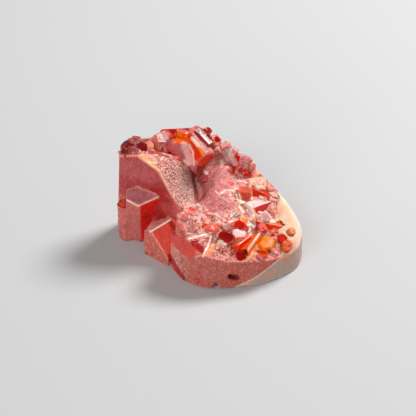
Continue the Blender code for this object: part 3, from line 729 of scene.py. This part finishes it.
def crystals_of(bm, patch, areas):
    """For each face its crystal, or -1: patches joined across raised edges."""
    crystal = np.full(len(bm.faces), -1)
    members = grouped(bm, patch)
    outer = {number for number, faces in members.items() if is_outer(faces)}
    count = 0
    for seed in np.argsort(-areas):
        if areas[seed] < SEED_AREA:
            break
        if crystal[members[seed][0].index] >= 0 or seed in outer:
            continue
        front = [(seed, 0)]
        while front:
            here, steps = front.pop(0)
            if crystal[members[here][0].index] >= 0:
                continue
            for face in members[here]:
                crystal[face.index] = count
            for face in members[here]:
                for other in neighbours(face, raised=True):
                    number = patch[other.index]
                    small = areas[number] < FACET_AREA
                    passes = not small or steps < SMALL_STEPS
                    if crystal[other.index] < 0 and number not in outer and passes:
                        front.append((number, steps + 1 if small else 0))
        count += 1
    return crystal


def long_axis(hull):
    """The direction in which a body is longest."""
    corners = np.array([vert.co for vert in hull.verts])
    return np.linalg.svd(corners - corners.mean(axis=0), full_matrices=False)[2][0]


def hull_of(faces):
    """The convex body round some faces."""
    hull = bmesh.new()
    for vert in {vert for face in faces for vert in face.verts}:
        hull.verts.new(vert.co)
    bmesh.ops.convex_hull(hull, input=hull.verts)
    bmesh.ops.delete(hull, geom=[vert for vert in hull.verts if not vert.link_faces], context="VERTS")
    hull.normal_update()
    return hull


class Crust:
    """The crust as modelled: its flat patches and single crystals, and each face's colour and frost."""

    def __init__(self):
        self.bm = node_bmesh("crystal_crust")
        self.tree = BVHTree.FromBMesh(self.bm)
        self.normals = np.array([face.normal for face in self.bm.faces])
        self.patch, self.areas = patches_of(self.bm)
        self.crystal = crystals_of(self.bm, self.patch, self.areas)
        self.find_hulls()
        self.axes = np.tile((0.0, 0.0, 1.0), (max(self.crystal) + 2, 1))
        for number, hull in self.hulls.items():
            self.axes[number] = long_axis(hull)
        self.single = np.isin(self.crystal, list(self.hulls))
        self.colour_faces()

    def find_hulls(self):
        """Keeps the crystals that are compact, faceted and nearly convex, each as its convex body."""
        self.hulls = {}
        for number, faces in grouped(self.bm, self.crystal).items():
            area = sum(face.calc_area() for face in faces)
            facets = {self.patch[face.index] for face in faces}
            if number < 0 or area > LARGEST_AREA or len(facets) < FEWEST_FACETS:
                continue
            hull = hull_of(faces)
            skin = BVHTree.FromBMesh(hull)
            gap = max(skin.find_nearest(face.calc_center_median())[3] for face in faces)
            if hull.calc_volume() > THINNEST * area and gap < FLATNESS:
                self.hulls[number] = hull

    def colour_faces(self):
        chance = random.Random(5)
        self.colours = np.tile(np.array(DULL_PINK), (len(self.patch), 1))
        self.frost = np.full(len(self.patch), MASS_FROST)
        self.named = self.single.copy()
        for number in sorted(self.hulls):
            self.colours[self.crystal == number] = chance.choice(FACET_TONES)
            self.frost[self.crystal == number] = chance.uniform(*FACET_FROST)
        for table, group in ((CRYSTALS, self.crystal), (FACES, self.patch)):
            for _, colour, frost, *marks in table:
                for mark in marks:
                    face = seen_at(self.tree, mark)[2]
                    alike = group if self.single[face] else self.patch
                    mine = alike == alike[face]
                    self.colours[mine] = colour
                    self.frost[mine] = frost
                    self.named |= mine
        bright = np.array([chance.uniform(*BRIGHTNESS) for _ in self.areas])
        self.colours *= bright[self.patch][:, None]


def ground_share(surface):
    """Where the surface is ground or sawn: the front, right and rear walls and the back below."""
    x, y, _ = surface.places.T
    upward = surface.normals[:, 2]
    upright = 1 - smoothstep(np.abs(upward), 0.1, 0.3)
    outward = (surface.places[:, :2] * surface.normals[:, :2]).sum(axis=1) > OUTWARD
    front = (y < FRONT_Y) & (x > FRONT_LEFT_X)
    walls = upright * (outward & ((x > LEFT_X) | (y > REAR_Y) | front))
    return np.maximum(walls, smoothstep(-upward, 0.5, 0.9))


def thinness(surface, tree):
    """How thin the body is behind each vertex: 1 at a sharp edge, 0 over solid mass."""
    out = np.zeros(len(surface.places))
    for index, (place, normal) in enumerate(zip(surface.places, surface.normals)):
        inward = -Vector(normal)
        hit = tree.ray_cast(Vector(place) + inward * SKIN, inward, THICKEST)
        if hit[0] is not None:
            out[index] = math.exp(-hit[3] / FADE)
    return out


def roughen(surface, tree, natural, faceted):
    """Gives the granular places their tones; returns the relief."""
    stand, number = grains(surface.places, size=0.55, seed=6)
    fine_stand, fine_number = grains(surface.places, size=0.24, seed=16)
    own_tones = np.array(GRAIN_TONES)[(number * len(GRAIN_TONES)).astype(int)]
    own_frost = np.where(number > CLEAR_GRAINS_FROM, CLEAR_GRAIN_FROST, GRAIN_FROST)
    relief = FINE_RELIEF * surface.frost * fine_stand
    for _, reach, height, strength, *marks in GRAINS:
        distance = distance_to_path(surface.places, on_surface(tree, marks))
        share = near(distance, reach, full=0.7) * natural * (1 - faceted)
        relief += share * height * stand
        surface.blend_frost(share, own_frost)
        surface.blend(share * strength * 0.75, own_tones)
    surface.brighten(0.6 * ((fine_number - 0.5) * surface.frost * natural))
    return relief


def dress_crust(crust):
    surface = Surface(remeshed(crust.bm, voxel=0.093))
    owner, _ = surface.nearest(crust.tree)
    faceted = np.where((crust.areas[crust.patch] > FACET_AREA) | crust.single, 1.0, 0.0)[owner]
    ground = ground_share(surface)
    natural = 1 - ground
    surface.colours = crust.colours[owner]
    surface.frost = crust.frost[owner]
    paint_areas(surface, crust, owner)
    relief = roughen(surface, crust.tree, natural, faceted)

    surface.blend(ground * 0.9, GROUND_MAUVE)
    for _, size, seed, low, high, colour, strength in GROUND_SPOTS:
        surface.blend(ground * strength * surface.spots(size, seed, low, high), colour)
    surface.blend_frost(ground, frost=0.5)
    surface.brighten(0.35 * (surface.grain(size=0.5, seed=31, octaves=3) * (1 - surface.frost) * natural))
    # Painted glow: thin, clear crystal turns scarlet as if lit through
    surface.blend(0.4 * thinness(surface, crust.tree) * (1 - surface.frost), SCARLET)

    unevenness = 0.012 * surface.grain(size=0.5, seed=9)
    relief = np.where(crust.single[owner], -COVERED_SINK, natural * relief)
    surface.raise_by(relief + unevenness * (1 - 0.6 * ground))

    bulge = surface.bulge()
    # Painted highlight on ridges and painted shade in grooves
    surface.blend(0.35 * smoothstep(bulge, *HIGHLIGHT_AND_SHADE_BULGE) * natural, BLUSH)
    surface.blend(0.5 * smoothstep(-bulge, *HIGHLIGHT_AND_SHADE_BULGE) * natural, PLUM)
    paint_traces(surface, crust.tree)
    return surface.finished("vanadinite_crust", crisp=30)


def bared(edge, tree):
    """Whether an edge of a crystal may show: it is long, or near the face of the druse."""
    middle = (edge.verts[0].co + edge.verts[1].co) / 2
    return edge.calc_length() > 4 * BURIED or tree.find_nearest(middle)[3] < BURIED


def refine(bm, wanted=lambda edge: True):
    """Cuts the wanted edges down to the size of a crystal's finest marks."""
    bmesh.ops.triangulate(bm, faces=bm.faces)
    for _ in range(6):
        long = [edge for edge in bm.edges if edge.calc_length() > CRYSTAL_CELL and wanted(edge)]
        bmesh.ops.subdivide_edges(bm, edges=long, cuts=1, use_grid_fill=True)
        bmesh.ops.triangulate(bm, faces=bm.faces)


def bevel(bm, width):
    """Bevels every edge of bm; returns the new faces."""
    made = bmesh.ops.bevel(bm, geom=bm.edges, offset=width, segments=1, affect="EDGES", clamp_overlap=True)
    return made["faces"]


def large_crystal_mesh(crust):
    """The crystals' bodies in one mesh, and the crust's face that each vertex belongs to."""
    bm = bmesh.new()
    source = bm.faces.layers.int.new("source")
    for hull in crust.hulls.values():
        bmesh.ops.dissolve_limit(hull, angle_limit=COPLANAR, verts=hull.verts, edges=hull.edges)
        hull.normal_update()
        for vert in hull.verts:
            vert.co += vert.normal * STAND_CLEAR
        body = bpy.data.meshes.new("body")
        hull.to_mesh(body)
        bm.from_mesh(body)
        bpy.data.meshes.remove(body)
    for face in bm.faces:
        face[source] = crust.tree.find_nearest(face.calc_center_median())[2]
    for face in bevel(bm, width=0.03):
        face[source] = -1
    refine(bm, lambda edge: bared(edge, crust.tree))
    owner = np.array([max(face[source] for face in vert.link_faces) for vert in bm.verts])
    return mesh_of(bm, "large_crystals"), owner


def dress_large_crystals(crust):
    """The single crystals as sharp bodies, set a hair proud of the crust that they grow from."""
    mesh, owner = large_crystal_mesh(crust)
    surface = Surface(mesh)
    surface.colours = crust.colours[owner]
    surface.frost = crust.frost[owner]
    deep = surface.spots(size=0.7, seed=21, low=0.0, high=0.6) * (1 - surface.frost)
    surface.blend(0.35 * deep, MAROON)
    stand, number = grains(surface.places, size=0.22, seed=16)
    surface.brighten(0.5 * surface.frost * (number - 0.5))
    along = crust.axes[crust.crystal[owner]]
    lengthwise = (surface.places * along).sum(axis=1)[:, None]
    across = surface.places - STRETCH * lengthwise * along
    striped = grain(across, size=0.3, seed=41)
    surface.brighten(0.25 * striped)
    surface.raise_by(0.02 * striped + 0.04 * surface.frost * stand)
    paint_traces(surface, crust.tree)
    return surface.finished("large_crystals", crisp=20)


def is_seated(tree, foot, width):
    """Whether the druse lies below a crystal of that width on all sides."""
    around = (foot + Matrix.Rotation(turn, 3, "Z") @ Vector((width, 0, ABOVE)) for turn in range(6))
    return all(tree.ray_cast(place, DOWN)[0] is not None for place in around)


def place_of_crystals(tree):
    """End, axis, radius and tone of each small crystal; those on the rear stay behind the crest."""
    chance = random.Random(11)
    found = []
    for _, view, marks, reach, count, radii, tones in TUFTS:
        if view == "image":
            path = on_surface(tree, marks)
        else:
            path = [tree.ray_cast(Vector((*mark, ABOVE)), DOWN)[0] for mark in marks]
        for _ in range(count):
            leg = chance.randrange(len(path) - 1)
            start = path[leg].lerp(path[leg + 1], chance.random())
            start += Vector([chance.uniform(-reach, reach) for _ in range(3)])
            lean = Vector([chance.uniform(-LEAN, LEAN) for _ in range(3)])
            radius = chance.uniform(*radii)
            stand = radius * chance.uniform(*STAND)
            tone = chance.choice(tones)
            foot, normal, _, _ = tree.find_nearest(start)
            if normal.z < STEEPEST:
                continue
            axis = (normal + lean).normalized()
            end = foot + axis * stand
            seated = is_seated(tree, foot, radius + stand + SEAT_MARGIN)
            crest = end + VIEW_UP * (1.5 * radius + SEAT_MARGIN)
            if seated and (view == "image" or tree.ray_cast(crest, -VIEW_AHEAD)[0] is not None):
                found.append((end, axis, radius, tone))
    return found


def dress_small_crystals(tree):
    chance = random.Random(23)
    bm = bmesh.new()
    layer = bm.verts.layers.int.new("crystal")
    crystals = place_of_crystals(tree)
    for number, (end, axis, radius, _) in enumerate(crystals):
        length = radius * 2 + SMALL_ROOT
        seat = Matrix.Translation(end - axis * (length / 2))
        seat = seat @ axis.to_track_quat("Z", "Y").to_matrix().to_4x4()
        seat = seat @ Matrix.Rotation(chance.uniform(0, 1), 4, "Z")
        seat = seat @ Matrix.Diagonal((chance.uniform(0.7, 1.2), 1, 1, 1))
        made = bmesh.ops.create_cone(
            bm, cap_ends=True, segments=6, radius1=radius, radius2=radius, depth=length, matrix=seat
        )
        for vert in made["verts"]:
            vert[layer] = number
    bevel(bm, width=0.018)
    bmesh.ops.triangulate(bm, faces=bm.faces)
    owner = np.array([vert[layer] for vert in bm.verts])

    surface = Surface(mesh_of(bm, "small_crystals"))
    surface.colours = np.array([tone for _, _, _, tone in crystals])[owner]
    surface.frost = np.array(SMALL_FROST)[owner % 3]
    return surface.finished("small_crystals", crisp=20)


def dress_matrix(crust_tree):
    bm = node_bmesh("matrix")
    for vert in bm.verts:
        if crust_tree.find_nearest(vert.co)[3] < SEAM_REACH and vert.co.z > SEAM_LOWEST:
            vert.co.z += SEAM_CLOSING
    tree = BVHTree.FromBMesh(bm)
    surface = Surface(remeshed(bm, voxel=0.12))
    bm.free()
    surface.smooth(factor=0.5, rounds=2)
    ground = ground_share(surface)
    _, gap = surface.nearest(crust_tree)
    surface.colours[:] = MATRIX_CREAM
    # The sawn walls turn tan: their duller ground finish, darkened further as painted shade below the lit
    # top
    surface.blend(0.8 * ground, MATRIX_GROUND_SHADE)
    stained = (1 - smoothstep(gap, 0.1, 1.3)) * surface.spots(size=0.9, seed=4, low=-0.2, high=0.4)
    surface.blend(0.5 * stained, APRICOT)
    for _, reach, colour, strength, *marks in STAINS:
        distance = distance_to_path(surface.places, on_surface(tree, marks))
        distance /= 1 + 0.4 * surface.grain(size=0.5, seed=8)
        surface.blend(strength * near(distance, reach, full=0.3), colour)
    surface.frost = 0.4 - 0.1 * ground
    surface.raise_by(0.02 * surface.grain(size=0.5, seed=1, octaves=3))
    return surface.finished("cream_matrix", crisp=50)


def dress_edge_crystal(node, name, colour):
    bm = node_bmesh(node)
    bmesh.ops.dissolve_limit(bm, angle_limit=math.radians(2), verts=bm.verts, edges=bm.edges)
    facet = bm.faces.layers.int.new("facet")
    for number, face in enumerate(bm.faces):
        face[facet] = number
    bevel(bm, width=0.02)
    refine(bm)
    facets = np.array([max(face[facet] for face in vert.link_faces) for vert in bm.verts])

    surface = Surface(mesh_of(bm, name))
    chance = random.Random(name)
    bright = np.array([chance.uniform(0.4, 1.0) for _ in range(max(facets) + 1)])
    surface.colours = np.outer(bright[facets], colour)
    patchy = surface.grain(size=0.35, seed=5)
    surface.blend(0.8 * smoothstep(patchy, -0.1, 0.3), OCHRE)
    surface.blend(0.8 * smoothstep(-patchy, 0.2, 0.5), DEEP_RED)
    surface.raise_by(-RIM_PITTING * abs(patchy))
    surface.frost[:] = 0.4
    return surface.finished(name, crisp=20)


class Shader:
    """A node material in the making."""

    def __init__(self, name):
        self.material = bpy.data.materials.new(name)
        self.material.use_nodes = True
        self.tree = self.material.node_tree
        self.surface = self.tree.nodes["Principled BSDF"]

    def feed(self, node, inputs):
        """Gives each input a constant or the output of another node."""
        for socket, value in inputs.items():
            if isinstance(value, bpy.types.NodeSocket):
                self.tree.links.new(value, node.inputs[socket])
            else:
                node.inputs[socket].default_value = value

    def output(self, kind, inputs, socket, **settings):
        """What a new node gives out at a socket."""
        made = self.tree.nodes.new(kind)
        for key, value in settings.items():
            setattr(made, key, value)
        self.feed(made, inputs)
        return made.outputs[socket]

    def place(self, scale):
        """Object coordinates, scaled from metres."""
        coordinates = self.output("ShaderNodeTexCoord", {}, "Object")
        return self.output("ShaderNodeMapping", {"Vector": coordinates, "Scale": (scale,) * 3}, "Vector")

    def noise(self, place, scale, detail, roughness):
        inputs = {"Vector": place, "Scale": scale, "Detail": detail, "Roughness": roughness}
        return self.output("ShaderNodeTexNoise", inputs, "Fac")

    def cracks(self, place, scale, width):
        """Thin bright lines between cells."""
        inputs = {"Vector": place, "Scale": scale}
        away = self.output("ShaderNodeTexVoronoi", inputs, "Distance", feature="DISTANCE_TO_EDGE")
        return self.ramp(away, 0.0, width, 1.0, 0.0)

    def ramp(self, value, low, high, start=0.0, end=1.0):
        inputs = {"Value": value, "From Min": low, "From Max": high, "To Min": start, "To Max": end}
        return self.output("ShaderNodeMapRange", inputs, "Result", interpolation_type="SMOOTHSTEP")

    def math(self, operation, first, second):
        return self.output("ShaderNodeMath", {0: first, 1: second}, "Value", operation=operation)

    def mix(self, share, first, second):
        """The first colour turned into the second by a share."""
        return self.output("ShaderNodeMix", {0: share, 6: first, 7: second}, 2, data_type="RGBA")


def mineral(name, glow, depth, index, clear_rough, frosted_rough, pale, dark):
    """A translucent mineral whose colour and frost come from the mesh."""
    shader = Shader(name)
    pale, dark = (*pale, 1), (*dark, 1)
    place = shader.place(1 / MM)
    tint = shader.output("ShaderNodeVertexColor", {}, "Color", layer_name="tint")
    frost = tint.node.outputs["Alpha"]
    blotch = shader.noise(place, scale=2.4, detail=4.0, roughness=0.65)
    speck = shader.noise(place, scale=6.5, detail=3.0, roughness=0.7)
    vein = shader.cracks(place, scale=3.0, width=0.12)
    vein = shader.math("MULTIPLY", vein, shader.ramp(blotch, 0.45, 0.62))
    vein = shader.math("MULTIPLY", vein, shader.ramp(frost, 0.5, 0.85))
    colour = shader.mix(shader.ramp(blotch, 0.45, 0.75, end=0.35), tint, dark)
    pale_speck = shader.ramp(speck, 0.48, 0.64, end=0.7)
    pale_speck = shader.math("MULTIPLY", pale_speck, shader.ramp(frost, 0.2, 0.9))
    colour = shader.mix(pale_speck, colour, pale)
    dark_speck = shader.ramp(speck, 0.48, 0.36, end=0.9)
    dark_speck = shader.math("MULTIPLY", dark_speck, shader.ramp(frost, 0.5, 0.95))
    colour = shader.mix(dark_speck, colour, dark)
    colour = shader.mix(shader.math("MULTIPLY", vein, 0.6), colour, pale)
    roughness = shader.ramp(frost, 0.0, 1.0, clear_rough, frosted_rough)
    roughness = shader.math("ADD", roughness, shader.ramp(speck, 0.3, 0.7, end=0.1))
    height = shader.math("MULTIPLY", speck, frost)
    height = shader.math("ADD", height, shader.math("MULTIPLY", blotch, 0.4))
    bump = {"Height": height, "Strength": 0.6, "Distance": 0.1 * MM}
    shader.feed(shader.surface, {
        "Base Color": colour,
        "Roughness": roughness,
        "IOR": index,
        "Specular IOR Level": 0.18,
        "Subsurface Weight": 1.0,
        "Subsurface Radius": glow,
        "Subsurface Scale": depth,
        "Normal": shader.output("ShaderNodeBump", bump, "Normal"),
    })
    return shader.material


def dress():
    red_finish = mineral(
        "vanadinite", glow=(1.0, 0.4, 0.25), depth=0.35 * MM, index=1.58,
        clear_rough=0.12, frosted_rough=0.6, pale=SPECK_PINK, dark=SPECK_RED,
    )
    cream_finish = mineral(
        "matrix", glow=(1.0, 0.7, 0.5), depth=0.8 * MM, index=1.5,
        clear_rough=0.35, frosted_rough=0.6, pale=SPECK_WHITE, dark=SPECK_TAN,
    )
    crust = Crust()
    body = dress_crust(crust)
    large = dress_large_crystals(crust)
    small = dress_small_crystals(crust.tree)
    matrix = dress_matrix(crust.tree)
    first = dress_edge_crystal("edge_crystal_1", "rim_crystal_1", RIM_ORANGE)
    second = dress_edge_crystal("edge_crystal_2", "rim_crystal_2", ORANGE)
    for piece, node, slot, finish in (
        (body, "crystal_crust", "vanadinite", red_finish),
        (large, None, "vanadinite", red_finish),
        (small, None, "vanadinite", red_finish),
        (matrix, "matrix", "matrix", cream_finish),
        (first, "edge_crystal_1", "orange_vanadinite", red_finish),
        (second, "edge_crystal_2", "orange_vanadinite", red_finish),
    ):
        piece.data.materials.append(finish)
        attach(piece, "root")
        if node:
            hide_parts(node)


def soft_box(name, direction, distance, size, power):
    lamp = bpy.data.lights.new(name, "AREA")
    lamp.shape = "DISK"
    lamp.size = size
    lamp.energy = power
    seat = new_object(name, lamp)
    direction = Vector(direction).normalized()
    seat.location = LIT_POINT + direction * distance
    seat.rotation_euler = direction.to_track_quat("Z", "Y").to_euler()


def add_camera():
    """A camera that sees the object as the photograph does."""
    aim = Vector((IMAGE_SIZE / 2 - ORIGIN_X, 0, 0)) * MM_PER_PIXEL * MM
    aim.z = (ORIGIN_Y - IMAGE_SIZE / 2) * MM_PER_PIXEL * MM / math.cos(ELEVATION)
    camera = bpy.data.cameras.new("camera")
    camera.lens = LENS
    camera.sensor_width = SENSOR
    camera.clip_start = 0.005
    distance = IMAGE_SIZE * MM_PER_PIXEL * MM * LENS / SENSOR
    seat = new_object("camera", camera)
    seat.location = aim - VIEW_AHEAD * distance
    seat.rotation_euler = (-VIEW_AHEAD).to_track_quat("Z", "Y").to_euler()
    bpy.context.scene.camera = seat


def add_floor():
    bm = bmesh.new()
    bmesh.ops.create_grid(bm, x_segments=1, y_segments=1, size=0.6)
    floor = new_object("floor", mesh_of(bm, "floor"))
    shader = Shader("floor")
    shader.feed(shader.surface, {"Base Color": (0.5, 0.5, 0.5, 1), "Roughness": 0.8})
    floor.data.materials.append(shader.material)
    floor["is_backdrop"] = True


def studio():
    """A plain pale floor, soft lights and the camera."""
    add_camera()
    for lamp in LAMPS:
        soft_box(*lamp)
    world = bpy.data.worlds.new("studio")
    world.use_nodes = True
    background = world.node_tree.nodes["Background"]
    background.inputs["Color"].default_value = (0.8, 0.81, 0.83, 1)
    background.inputs["Strength"].default_value = 0.24
    bpy.context.scene.world = world
    bpy.context.scene.view_settings.view_transform = "Standard"
    add_floor()


dress()
studio()

[[list(corner) for corner in box] for box in (cad_box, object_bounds())]
